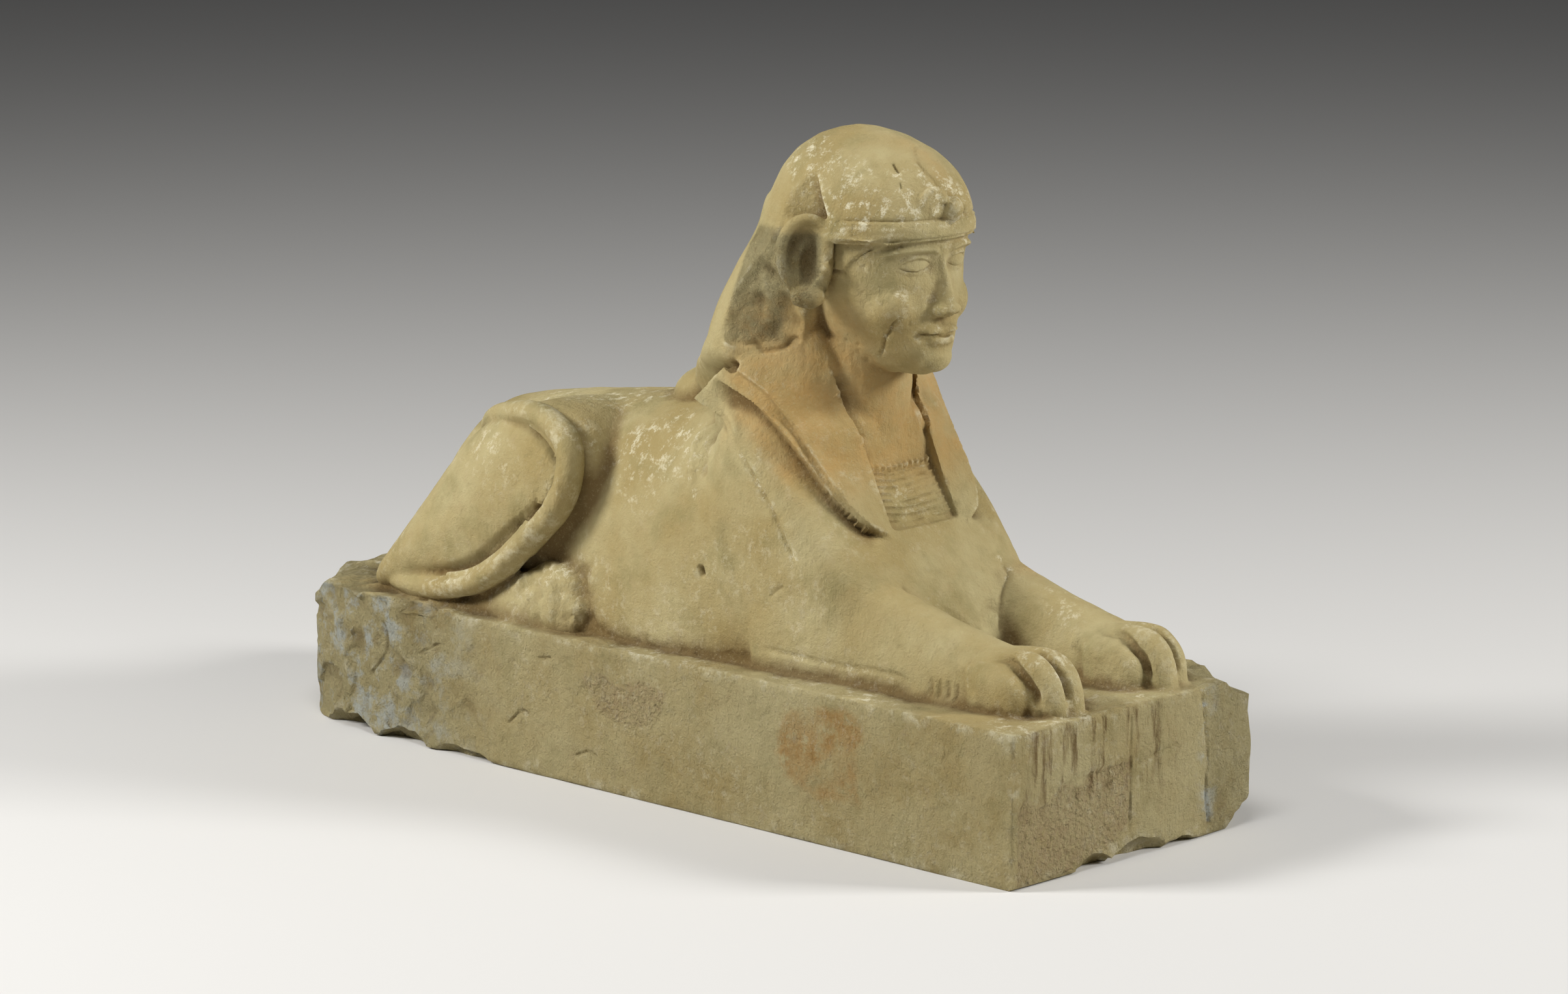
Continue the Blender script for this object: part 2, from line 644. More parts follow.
# From the front to the back, which stays inside the chest
LAPPET_BACK = (0, 30, -26)


def lappet(side):
    """A thick flat panel, with its outer side showing as a rim that narrows to the point."""
    rings = []
    for station in stations(LAPPET, 70):
        row = table_at(LAPPET, station)
        outer, inner = row[:3] * (side, 1, 1), row[3:] * (side, 1, 1)
        rim = outer + LAPPET_RIM * (side, 1, 1) * (1 - station / RIM_END)
        crown = (outer + inner) / 2 + np.array((side * 1.5, -3, 1.5)) * station / 6
        front = smooth_path([outer, crown, inner], 12)
        side_face = np.linspace(rim, outer, 5, endpoint=False)
        behind = np.array([inner, rim]) + LAPPET_BACK
        rings.append(np.vstack([side_face, front, behind]))
    return rolled("lappet", rings)


# Plan of the loss behind the right ear at rising levels, from its rear edge to its front: (x, y)
WING_LOSS = [
    (430, [(-128, -90), (-117, -102), (-101, -116), (-84, -131), (-64, -150)]),
    (460, [(-128, -88), (-117, -101), (-101, -115), (-83, -133), (-64, -154)]),
    (469, [(-126, -78), (-112, -96), (-92, -122), (-74, -150), (-66, -184)]),
    (490, [(-124, -80), (-108, -98), (-94, -120), (-80, -146), (-74, -184)]),
    (515, [(-118, -86), (-104, -104), (-97, -120), (-90, -144), (-86, -184)]),
    (545, [(-114, -98), (-101, -114), (-97, -126), (-93, -146), (-92, -184)]),
    (580, [(-108, -116), (-98, -126), (-97, -136), (-96, -150), (-96, -184)]),
]
# The loss's outer side, in the open beside the cloth
BESIDE_WING = [(-140, -190), (-150, -130), (-136, -76)]


def rim_hole():
    """A hole knocked into the rim of the cloth at the right shoulder."""
    return crumpled(ball("rim_hole", (-119, -101, 441), (11, 9, 7), (0.3, 0.5, 0)), 7, 1.2, 95)


def broken_wing():
    """The cloth behind the right ear is broken away to a rough hollow face."""
    rows = [[z, *np.ravel(plan)] for z, plan in WING_LOSS]
    rings = []
    for z in stations(rows, 44):
        broken_face = smooth_path(table_at(rows, z).reshape(-1, 2), 40)
        x, y = np.vstack([broken_face, smooth_path(BESIDE_WING, 12)]).T
        spot = np.c_[x, y, np.full(len(x), z)]
        rough = 5.0 * noise(spot, 20, 81) + 4.0 * noise(spot, 8.5, 82)
        rings.append(spot + (1, -0.4, 0) * rough[:, None])
    return rolled("wing_loss", rings)


# Section of the brow band: (height from its middle, how far it stands out)
HEADBAND = [(-8, 0), (-7, 3.4), (-5, 4), (6, 4), (7.4, 3.2), (8, 0)]
# Stone between the neck and each lappet, from the ear down
THROAT_WEB = [(56, -146, 472), (51, -160, 444), (46, -168, 418), (42, -170, 390), (40, -171, 360)]
THROAT_WEB_RADII = [[0, 20, 20], [0.5, 15, 15], [1, 10, 10]]


def headband():
    """The flat band across the brow, standing out from the dome."""
    middle_y, half_width, front_depth, back_depth, power = table_at(DOME, BROW_BAND)
    rings = []
    for rise, proud in HEADBAND:
        wide, front = half_width + proud - 3, front_depth + proud
        rings.append(level_ring(BROW_BAND + rise, middle_y, wide, front, back_depth - 20, power, count=96))
    return rolled("headband", rings)


def headcloth():
    """Dome, wings, brow band, queue, and the lappets with the webs beside the neck."""
    wings = cut_with(level_loft("wings", WINGS, 60, count=90), broken_wing())
    pieces = [level_loft("dome", DOME, 60, count=96), wings, headband()]
    pieces.append(ball("queue", (0, 30, 384), (44, 56, 32), (-0.12, 0, 0)))
    for side in SIDES:
        web = [(side * x, y, z) for x, y, z in THROAT_WEB]
        pieces += [lappet(side), rope("throat_web", web, THROAT_WEB_RADII, 40, 16)]
    return pieces


# The brow's surface, and paths of what is left of the cobra on it: (x, y from there, z)
COBRA_Y = -276
COBRA_COIL = [
    (-9, -1, 604), (-17, 0, 600), (-26, 4, 605), (-27, 5, 614), (-19, 2, 620), (-11, -1, 616), (-12, -3, 609),
]
COBRA_COIL_RADII = [[0, 4, 5], [0.6, 5, 6], [1, 5, 6]]
COBRA_SCAR = [(0, 4, 604), (0, 22, 628), (0, 50, 650)]
COBRA_SCAR_RADII = [[0, 11, 6], [0.6, 9, 5], [1, 5, 3]]
# Broken lumps: name, (x, y from the brow, z), half sizes, turn, then grain, height and seed of the breaks
COBRA_LUMPS = [
    ("cobra_lump", (-18, 4, 610), (10, 8, 10), (0, 0, 0), (7, 1.0, 96)),
    ("cobra_stump", (1, -5, 603), (10, 12, 13), (0.3, 0.2, 0), (8, 2.4, 97)),
    ("cobra_scrap", (17, 3, 603), (12, 8, 8), (0, 0.3, 0), (8, 1.8, 98)),
]


def cobra():
    """Rearing cobra on the brow, broken down to its coils, a stump and a scar."""
    coil, scar = ([(x, COBRA_Y + y, z) for x, y, z in path] for path in (COBRA_COIL, COBRA_SCAR))
    pieces = [rope("cobra_coil", coil, COBRA_COIL_RADII, 40, 12)]
    for name, (x, y, z), sizes, turn, breaks in COBRA_LUMPS:
        pieces.append(crumpled(ball(name, (x, COBRA_Y + y, z), sizes, turn), *breaks))
    return [*pieces, rope("cobra_scar", scar, COBRA_SCAR_RADII, 20, 10)]


# The fold pocket's deepest point inside, and its front, rear and top corners on the cloth, each with how
# far the cutter reaches from the deepest point, as a share of the way to that corner
POCKET_DEEP = np.array((70, -192, 578))
POCKET_CORNERS = [((94, -207, 586), 2.2), ((99, -138, 570), 2.2), ((74, -168, 641), 1.6)]


def fold_pocket(side):
    """Pointed fold in the headcloth above each ear, cut as a sloping three-sided pocket."""
    beyond = [POCKET_DEEP + reach * (np.array(corner) - POCKET_DEEP) for corner, reach in POCKET_CORNERS]
    bpy.ops.object.select_all(action="DESELECT")
    bpy.ops.mesh.primitive_cone_add(vertices=3, radius1=1, depth=1)
    cutter = bpy.context.active_object
    write_points(cutter, np.array([POCKET_DEEP, *beyond]) * (side, 1, 1))
    return sewn(cutter)


# ---------------------------------------------------------------- statue
def statue():
    """Every form joined and melted into one block, with the pockets and the rim hole cut first."""
    forms = [plinth(), body_block(), level_loft("neck", NECK, 30), face(), *headcloth(), *cobra()]
    for side in SIDES:
        forms += [thigh_band(side), *hind_paw(side), *ear(side), *front_toes(side)]
    for form in forms:
        if form.name.startswith(("dome", "wings")):
            for side in SIDES:
                cut_with(form, fold_pocket(side))
        if form.name.startswith(("body", "wings", "lappet")):
            cut_with(form, rim_hole())
    return remeshed(joined(forms, "limestone_sphinx"), FINE_VOXEL, LAST_RUBS)


# ---------------------------------------------------------------- carving the skin
def bump(x):
    """Smooth swelling of height 1 and half width 1."""
    return np.clip(1 - x * x, 0, None) ** 2


def smooth_step(x):
    """Rises smoothly from 0 to 1 while x goes from 0 to 1."""
    x = np.clip(x, 0, 1)
    return x * x * (3 - 2 * x)


def round_spot(*shares):
    """1 at the middle of a soft round spot, fading as the distances grow, in shares of its size."""
    return np.exp(-sum(share ** 2 for share in shares))


def between(values, low, high, soft):
    """1 from low to high, fading out over the soft width on both sides."""
    return smooth_step((values - low) / soft + 0.5) * smooth_step((high - values) / soft + 0.5)


def inside(y, z, outline, soft):
    """1 inside a flat outline, fading over the soft width across its edge."""
    outline = np.asarray(outline, float)
    far = np.full(len(y), np.inf)
    odd = np.zeros(len(y), bool)
    for (ay, az), (by, bz) in zip(outline, np.roll(outline, -1, axis=0)):
        along_y, along_z = by - ay, bz - az
        t = np.clip(((y - ay) * along_y + (z - az) * along_z) / (along_y ** 2 + along_z ** 2), 0, 1)
        far = np.minimum(far, np.hypot(y - ay - t * along_y, z - az - t * along_z))
        crosses = (az > z) != (bz > z)
        odd ^= crosses & (y < along_y * (z - az) / (along_z if along_z else 1e-9) + ay)
    return smooth_step(np.where(odd, far, -far) / soft + 0.5)


class Skin:
    """The block's surface as arrays in millimetres, worked with strokes that follow its normals."""

    def __init__(self, obj):
        self.obj = obj
        self.worked = np.zeros(len(obj.data.vertices), bool)
        self.renew()

    def renew(self):
        """Reads places, normals and the search tree again from the mesh."""
        self.at = read_points(self.obj)
        flat = np.empty(len(self.at) * 3)
        self.obj.data.vertex_normals.foreach_get("vector", flat)
        self.out = flat.reshape(-1, 3)
        self.tree = BVHTree.FromObject(self.obj, bpy.context.evaluated_depsgraph_get())

    def keep(self):
        """Puts the worked places back into the mesh before strokes that build on them."""
        write_points(self.obj, self.at)
        self.renew()

    def push(self, rows, amount):
        """Moves some points along their normals."""
        self.at[rows] += self.out[rows] * amount[:, None]

    def square_to(self, axis, end):
        """1 where the skin faces straight towards the plus or minus end of an axis."""
        return smooth_step(end * self.out[:, axis] * 4 - 2)

    def laid(self, path, spacing=3.0):
        """A path's points, evenly spaced and dropped onto the surface, with the normals there."""
        rough = smooth_path(path, 40)
        length = np.linalg.norm(np.diff(rough, axis=0), axis=1).sum()
        line = smooth_path(path, max(4, int(length / spacing)))
        places, normals = [], []
        for point in line:
            place, normal, _, _ = self.tree.find_nearest(Vector(point) * MM)
            places.append(np.array(place) / MM)
            normals.append(np.array(normal))
        return np.array(places), np.array(normals)

    def along(self, path, reach):
        """Rows near a path, with their signed distance across it and their share of its length."""
        line, normals = self.laid(path)
        box = (self.at > line.min(0) - reach).all(1) & (self.at < line.max(0) + reach).all(1)
        rows = np.flatnonzero(box)
        points = self.at[rows]
        best = np.full(len(rows), np.inf)
        across, share, facing = np.zeros(len(rows)), np.zeros(len(rows)), np.zeros(len(rows))
        for k, (a, b) in enumerate(zip(line, line[1:])):
            run = b - a
            t = np.clip((points - a) @ run / max(run @ run, 1e-9), 0, 1)
            off = points - a - t[:, None] * run
            distance = np.linalg.norm(off, axis=1)
            closer = distance < best
            best[closer] = distance[closer]
            across[closer] = np.sign(off[closer] @ np.cross(normals[k], run)) * distance[closer]
            share[closer] = (k + t[closer]) / (len(line) - 1)
            facing[closer] = self.out[rows[closer]] @ normals[k]
        near = (best < reach) & (facing > 0.25)
        return rows[near], across[near], share[near]

    def groove(self, path, width, depth, ends=0.12):
        """A cut along a path, deepest at its middle; a negative depth raises a ridge."""
        rows, across, share = self.along(path, width)
        fade = smooth_step(share / ends) * smooth_step((1 - share) / ends)
        self.worked[rows] = True
        self.push(rows, -depth * bump(across / width) * fade)

    def ledge(self, path, rise, above, sink, below, ends=0.12):
        """A sharp edge along a path: the skin on its left rises and the skin on its right sinks."""
        rows, across, share = self.along(path, max(above, below))
        fade = smooth_step(share / ends) * smooth_step((1 - share) / ends)
        left = smooth_step(across / 2.2 + 0.5)
        lifted = rise * bump(np.clip(across, 0, None) / above)
        lowered = sink * bump(np.clip(-across, 0, None) / below)
        self.worked[rows[np.abs(across) < 6]] = True
        self.push(rows, fade * (left * lifted - (1 - left) * lowered))

    def raise_where(self, weight, height):
        """Moves the surface out, or in where the height is negative, by a weight for every point."""
        rows = np.flatnonzero(weight > 1e-3)
        amount = height[rows] if isinstance(height, np.ndarray) else np.full(len(rows), height)
        self.push(rows, amount * weight[rows])


def roughness_of(points, grain, seed):
    """Broken-stone relief from two sizes of noise, from -1 to 1."""
    return 0.65 * noise(points, grain, seed) + 0.35 * noise(points, grain / 2.4, seed + 1)


def mirrored(path, side):
    """A path of one side laid out on the given side; what lies on the middle line stays there."""
    return [(side * abs(x) if x else 0.0, y, z) for x, y, z in path]


# The eyes: distance of their middle from the middle line, half length, and heights of the lids' edges
EYE_X, EYE_HALF, UPPER_LID, LOWER_LID = 31, 17, 6.4, -4.6
BROW_RISE, BROW_BEND = 17.5, 0.006
MOUTH_HALF, MOUTH_BEND = 25, 0.0022
# A fine crack down the right cheek
CHEEK_CRACK = [
    (-43, -252, 503), (-46, -246, 494), (-45, -243, 484), (-46, -238, 478), (-43, -232, 466),
    (-38, -222, 455),
]


def carve_face(skin):
    """Calm open eyes under straight brows, a closed mouth: the common proportions of a carved head."""
    x, y, z = skin.at.T
    front = smooth_step(-skin.out[:, 1] * 3) * between(y, -320, -215, 10) * between(z, CHIN, BROW_BAND, 6)
    up = z - EYES_Z
    relief = np.zeros(len(x))
    for side in SIDES:
        over = side * x - EYE_X
        socket = round_spot((over + 1) / 21, (up - 1) / 11.5)
        inner_corner = round_spot((over + 15) / 8, (up + 1) / 10)
        relief -= 6.6 * socket
        relief -= 3.0 * inner_corner
        share = np.clip(1 - (over / EYE_HALF) ** 2, 0, 1)
        upper, lower = UPPER_LID * share ** 0.8, LOWER_LID * share
        opening = smooth_step((upper - up) / 1.4 + 0.5) * smooth_step((up - lower) / 1.4 + 0.5) * (share > 0)
        relief += opening * (1.2 + 3.6 * np.clip(1 - (over / EYE_HALF) ** 2 - (up / 8) ** 2, 0, 1))
        wide = smooth_step(1.25 - np.abs(over) / 20)
        relief += 3.4 * bump((up - upper - 2.6) / 3.4) * wide + 2.2 * bump((up - lower + 2.2) / 2.8) * wide
        brow = EYES_Z + BROW_RISE - BROW_BEND * over ** 2
        relief += 4.2 * bump((z - brow) / 5.0) * between(over, -22, 26, 10)
        mouth_corner = round_spot((side * x - 27) / 4, (z - MOUTH_Z) / 4)
        nostril = round_spot((side * x - 6) / 3.2, (z - NOSE_Z + 1.5) / 2.6)
        relief -= 2.0 * mouth_corner
        relief -= 3.0 * nostril
    parting = z - MOUTH_Z + 0.5 - MOUTH_BEND * x ** 2 + np.exp(-(x / 6) ** 2)
    relief -= 3.2 * bump(parting / 2.0) * between(x, -MOUTH_HALF, MOUTH_HALF, 5)
    relief -= 1.3 * bump(x / 4.5) * between(z, MOUTH_Z + 9, NOSE_Z - 3, 4)
    skin.raise_where(front, relief)
    skin.keep()
    skin.groove(CHEEK_CRACK, 2.4, 2.4, 0.15)


# The tab of cloth before each ear: its curved front edge, then the short edge back to the ear
TEMPLE_CURVE = [
    (-58, -262, 573), (-68, -250, 569), (-74, -239, 563), (-77, -228, 556), (-77, -218, 548),
    (-76, -211, 541),
]
TEMPLE_FOOT = [(-76, -211, 541), (-76, -200, 543), (-76, -188, 543)]
TEMPLE_REAR = [(-188, 543), (-188, 581)]
# Grooves round the brow band: (height from its middle, half width, depth)
BAND_GROOVES = [(13, 2.6, 1.5), (10.5, 2.2, -1.2), (-7, 3.0, 2.2)]
# Small losses on the crown above the right eye: path, half width, depth, share that fades at the ends
CROWN_NICKS = [
    ([(-34, -234, 647), (-37, -247, 635)], 2.4, 4.5, 0.3),
    ([(-41, -250, 629), (-44, -256, 622)], 2.2, 2.0, 0.3),
    ([(-14, -243, 646), (-12, -258, 634), (-6, -272, 620)], 3.2, 1.8, 0.12),
]
# The edge of the cobra's scar on the crown, and the crease under the broken wing
SCAR_EDGE = [(-16, -262, 628), (-12, -243, 646), (2, -226, 656), (16, -226, 656)]
WING_CREASE = [(-119, -84, 468), (-116, -118, 466), (-98, -142, 466), (-76, -154, 468)]


def carve_headcloth(skin):
    """Temple tabs, grooves round the brow band, and the losses on the crown."""
    x, y, z = skin.at.T
    for side in SIDES:
        facing = smooth_step(side * skin.out[:, 0] * 3)
        outline = np.vstack([smooth_path(TEMPLE_CURVE, 24)[:, 1:], TEMPLE_REAR])
        skin.raise_where(inside(y, z, outline, 1.8) * between(side * x, 48, 92, 6) * facing, 2.8)
    skin.keep()
    middle_y, half_width, front_depth, back_depth, power = table_at(DOME, BROW_BAND)
    ring = level_ring(BROW_BAND, middle_y, half_width + 1, front_depth + 4, back_depth, power, 0, 96)
    ring = ring[ring[:, 1] < -205]
    for rise, width, depth in BAND_GROOVES:
        skin.groove(ring + (0, 0, rise), width, depth, 0.03)
    for side in SIDES:
        skin.groove(mirrored(TEMPLE_CURVE, side), 3.6, 3.0, 0.05)
        skin.groove(mirrored(TEMPLE_FOOT, side), 3.0, 2.0, 0.1)
    for nick in CROWN_NICKS:
        skin.groove(*nick)
    skin.ledge(SCAR_EDGE, 1.6, 16, 0.6, 6)
    skin.groove(WING_CREASE, 5, 3.5)


def carve_neck(skin):
    """Rough upright strokes in the throat, which was never smoothed."""
    x, y, z = skin.at.T
    throat_skin = between(z, 372, 462, 20) * between(y, -235, -150, 14) * between(x, -66, 66, 10)
    skin.raise_where(throat_skin, 0.9 * roughness_of(skin.at * (1, 1, 0.5), 7, 21))


# The collar, from its top down: drop beads, plain lines, small beads
COLLAR_LINES, DROP_PITCH, BEAD_PITCH = 7, 8.0, 4.6
# Where its first line lies below the top, and how far the middle of each row hangs above its ends
FIRST_LINE, COLLAR_SAG = 9, 4


def carve_collar(skin):
    """Drop beads above, seven plain lines, and a row of small beads below."""
    x, y, z = skin.at.T
    (top_y, top_z), (low_y, low_z) = COLLAR_TOP, COLLAR_BOTTOM
    length = math.hypot(top_y - low_y, top_z - low_z)
    down = ((y - top_y) * (low_y - top_y) + (z - top_z) * (low_z - top_z)) / length
    off = ((y - top_y) * (low_z - top_z) - (z - top_z) * (low_y - top_y)) / length
    on_collar = between(x, -COLLAR_SPAN + 2, COLLAR_SPAN - 2, 3) * between(off, -12, 12, 4)
    down = down + COLLAR_SAG * (x / COLLAR_SPAN) ** 2 + 1.0 * noise(skin.at * (1, 0, 0), 22, 5)
    drops = bump((np.mod(x + 0.35 * down, DROP_PITCH) - DROP_PITCH / 2) / 3.8) * bump((down - 3.5) / 5.0)
    skin.raise_where(on_collar * drops, 4.2)
    spacing = (length - 10) / COLLAR_LINES
    lines = np.zeros(len(x))
    for line in range(COLLAR_LINES + 1):
        lines += 2.2 * bump((down - FIRST_LINE - line * spacing) / 1.8)
    last_gap = bump((down - FIRST_LINE - (COLLAR_LINES - 0.5) * spacing) / 2.2)
    beads = bump((np.mod(x, BEAD_PITCH) - BEAD_PITCH / 2) / 2.1) * last_gap
    worn = smooth_step(0.75 + 0.6 * noise(skin.at, 12, 6))
    skin.raise_where(on_collar, (lines + 1.6 * beads) * worn)


SHOULDER_CRACK = [
    (-133, -122, 363), (-135, -147, 337), (-137, -175, 306), (-138, -199, 270), (-137, -209, 258),
]
# Low relief behind each shoulder: a raised loop round a hollow, and a ridge down the flank
LOOP_RIDGE = [
    (-132, -58, 308), (-119, -44, 342), (-103, -42, 366), (-116, -80, 397), (-126, -110, 389),
    (-135, -124, 363),
]
LOOP_HOLLOW = [(-128, -70, 322), (-119, -60, 343), (-110, -60, 360), (-118, -86, 380), (-128, -106, 368)]
FLANK_RIDGE = [(-139, -84, 330), (-141, -98, 290), (-141, -112, 240), (-140, -130, 200), (-143, -152, 174)]
# A scratch and a round hole low on the right shoulder
SHOULDER_SCRATCH = [(-139, -171, 223), (-139, -182, 232), (-139, -192, 237)]
SHOULDER_HOLE = [(-141, -76, 243), (-141, -78, 236), (-141, -81, 229)]
# Ledges: rise and width above the edge, sink and width below it
LAPPET_EDGE_STROKE, LAPPET_RIM_STROKE = (1.6, 24, 2.6, 9), (2.4, 10, 8.5, 34)
LAPPET_INNER_STROKE = (1.5, 14, 4, 9)


def carve_shoulders(skin):
    """Crisp edges where the lappets lie on the chest, and the relief and losses of the shoulders."""
    panel = np.array(LAPPET, float)
    outer = panel[:, 1:4] * (-1, 1, 1)
    rim = outer + LAPPET_RIM * (-1, 1, 1) * (1 - panel[:, :1] / RIM_END)
    inner = panel[1:4, 4:7] * (-1, 1, 1)
    for side in SIDES:
        skin.groove(mirrored(LOOP_RIDGE, side), 8, -3.6)
        skin.groove(mirrored(LOOP_HOLLOW, side), 8, 3.2)
        for line, stroke in ((outer, LAPPET_EDGE_STROKE), (rim, LAPPET_RIM_STROKE)):
            line = mirrored(line, side)
            skin.ledge(line if side < 0 else line[::-1], *stroke, ends=0.1)
        line = mirrored(inner, side)
        skin.ledge(line if side > 0 else line[::-1], *LAPPET_INNER_STROKE, ends=0.25)
        skin.groove(mirrored(FLANK_RIDGE, side), 14, -3.0, 0.3)
    skin.groove(SHOULDER_CRACK, 3.0, 2.6)
    skin.groove(SHOULDER_SCRATCH, 2, 2)
    skin.groove(SHOULDER_HOLE, 4.6, 7.5, 0.35)


# Lines along the thigh band, inside its ring: (distance inwards, half width, depth)
BAND_LINES = [(8, 6, -4.0), (20, 13, 5.0)]


def carve_haunches(skin):
    """A crisp inner edge on the thigh bands, chopped knees and battered hind paws."""
    for side in SIDES:
        for inward, width, depth in BAND_LINES:
            path = []
            for x, y, z in BAND[2:-1]:
                towards = THIGH_MIDDLE - (y, z)
                y, z = (y, z) + inward * towards / np.hypot(*towards)
                path.append((side * (x + 3), y, thigh_height(side, z)))
            skin.groove(path, width, depth, 0.2)
    skin.keep()
    x, y, z = skin.at.T
    for side in SIDES:
        knee = between(y, 70, 170, 30) * between(z, 180, 330, 30) * between(side * x, 140, 180, 6)
        chops = noise(skin.at * (1, 1.5, 0.6), 9, 31)
        skin.raise_where(knee * smooth_step(side * skin.out[:, 0]), 1.4 * chops)
        paw_area = between(y, 66, 180, 16) * between(z, 152, 218, 8) * between(side * x, 96, 176, 6)
        skin.raise_where(paw_area, 4.2 * roughness_of(skin.at, 13, 33))


TOE_GAPS = [
    [(-101, -436, 196), (-98, -450, 197), (-97, -466, 189), (-97, -480, 172), (-97, -486, 154)],
    [(-79, -460, 207), (-79, -474, 203), (-79, -490, 184), (-79, -498, 158)],
    [(-60, -442, 198), (-61, -464, 194), (-61, -486, 174), (-61, -494, 156)],
]
# The line where the foreleg meets the deck, four short hatches behind the paw, and the paw's heel
LEG_LINE = [
    (-142, -158, 166), (-142, -176, 171), (-137, -254, 168), (-132, -301, 169), (-129, -333, 167),
    (-130, -355, 158),
]
HATCH, HATCH_PLACES = [(118, 3, 172), (126, 0, 162), (131, -1, 154)], (-372, -382, -393, -403)
HEEL_LINE = [(-104, -415, 188), (-117, -421, 182), (-127, -424, 170), (-130, -426, 158)]
# A line and a hollow where each foreleg leaves the chest
CHEST_LINE = [(75, -287, 250), (66, -299, 231), (47, -306, 209), (30, -320, 180)]
CHEST_HOLLOW = [(44, -303, 214), (22, -310, 200), (12, -318, 182)]


def carve_forelegs(skin):
    """Lines along the forelegs and the chest, hatches and heels, and the gaps between the toes."""
    for side in SIDES:
        skin.groove(mirrored(LEG_LINE, side), 5, 1.8)
        for hatch_y in HATCH_PLACES:
            skin.groove([(side * x, hatch_y + y, z) for x, y, z in HATCH], 3.4, 2.4, 0.3)
        skin.groove(mirrored(HEEL_LINE, side), 6, 2.6, 0.3)
        for gap in TOE_GAPS:
            skin.groove(mirrored(gap, side), 6, 5.5, 0.2)
        skin.groove(mirrored(CHEST_LINE, side), 3.4, 2.2)
        skin.groove(mirrored(CHEST_HOLLOW, side), 12, 4.5, 0.3)


def weather_body(skin):
    """The worked skin: a slow waver from hand carving and faint upright tool strokes on the flanks."""
    points = skin.at
    above = smooth_step((points[:, 2] - DECK - 2) / 8)
    upright = np.clip(1 - np.abs(skin.out[:, 2]) * 1.4, 0, 1)
    skin.raise_where(above, 0.75 * noise(points, 46, 1) + 0.35 * noise(points, 17, 2))
    tool = noise(points * (0.5, 1, 0.16), 6.5, 3)
    body = between(points[:, 2], DECK, 400, 20) * upright
    skin.raise_where(above * body, 0.28 * tool)
    pits = np.clip(noise(points, 5.5, 4) - 0.62, 0, None) / 0.38
    skin.raise_where(above, -1.1 * pits * smooth_step(0.5 + noise(points, 60, 9)))


# Patches of coarse grains: outlines on the front (x, z) and on the right side (y, z)
GRAIN_FRONT = [
    (-172, 2), (-172, 78), (-160, 84), (-135, 74), (-108, 92), (-84, 84), (-62, 98), (-30, 96), (-10, 100),
    (-10, 40), (-24, 26), (-60, 14), (-100, 4),
]
GRAIN_SIDE = [
    (-66, 118), (-30, 124), (4, 112), (30, 122), (52, 120), (56, 106), (40, 98), (34, 84), (8, 76), (-18, 72),
    (-42, 80), (-58, 92),
]
FRONT_CRACK = [(97, FRONT, 148), (101, FRONT, 112), (105, FRONT, 80), (103, FRONT, 44), (110, FRONT, 8)]
# An upright edge and fainter lines on the front (x, z), and short cracks on the right side (y, z)
FRONT_UPRIGHT = [(-10, 146), (-10, 90), (-11, 24)]
FRONT_LINES = [
    [(-139, 86), (-82, 92), (-10, 95)], [(-10, 90), (42, 99), (94, 104)], [(-60, 70), (-10, 95)],
]
SIDE_CRACKS = [
    [(303, 97), (272, 112), (258, 116)], [(165, 46), (142, 64), (130, 60)], [(121, 122), (98, 126)],
    [(380, 60), (352, 96), (356, 128)], [(66, 30), (44, 38), (30, 34)],
]


def carve_plinth(skin):
    """Flaking, granular patches, chisel strokes and cracks on the plinth's faces, and a worn deck."""
    points = skin.at
    x, y, z = points.T
    low = smooth_step((DECK + 6 - z) / 6) * smooth_step((z - 0.5) / 3)
    front, right = skin.square_to(1, -1), skin.square_to(0, -1)
    rough_rear = smooth_step((y - 120) / 260) * smooth_step((60 - x) / 120)
    skin.raise_where(low, 1.0 * noise(points, 55, 51) + 0.45 * noise(points, 19, 52))
    flakes = smooth_step((noise(points, 30, 53) + 0.35 * noise(points, 11, 54)) * 4 + 0.4)
    skin.raise_where(low * right, -(0.9 + 3.0 * rough_rear) * flakes)
    left_front = between(x, 100, 200, 20) * between(y, -530, -400, 40)
    skin.raise_where(low * np.clip(rough_rear + left_front, 0, 1), 3.4 * roughness_of(points, 24, 55))
    grains = inside(x, z, GRAIN_FRONT, 4) * front + inside(y, z, GRAIN_SIDE, 4) * right
    skin.raise_where(grains * low, -1.6 + 0.8 * noise(points, 5, 57))
    strokes = noise(points * (1, 0, 0.07), 5, 58)
    chiselled = between(x, -168, 60, 16) * between(z, 60, 156, 24) * front
    skin.raise_where(chiselled * low, 1.6 * np.clip(strokes, -1, 0.3))
    skin.keep()
    skin.groove([(px, FRONT, pz) for px, pz in FRONT_UPRIGHT], 3.0, 2.0, 0.05)
    skin.groove(FRONT_CRACK, 3.2, 2.6, 0.05)
    for path in FRONT_LINES:
        skin.groove([(px, FRONT, pz) for px, pz in path], 2.6, 1.5)
    for path in SIDE_CRACKS:
        skin.groove([(-SIDE, py, pz) for py, pz in path], 2.6, 2.6)
    deck = between(skin.at[:, 2], DECK - 5, DECK + 5, 4) * smooth_step(skin.out[:, 2] * 3 - 1)
    skin.raise_where(deck, 1.3 * noise(skin.at, 38, 59) + 0.6 * noise(skin.at, 13, 60))


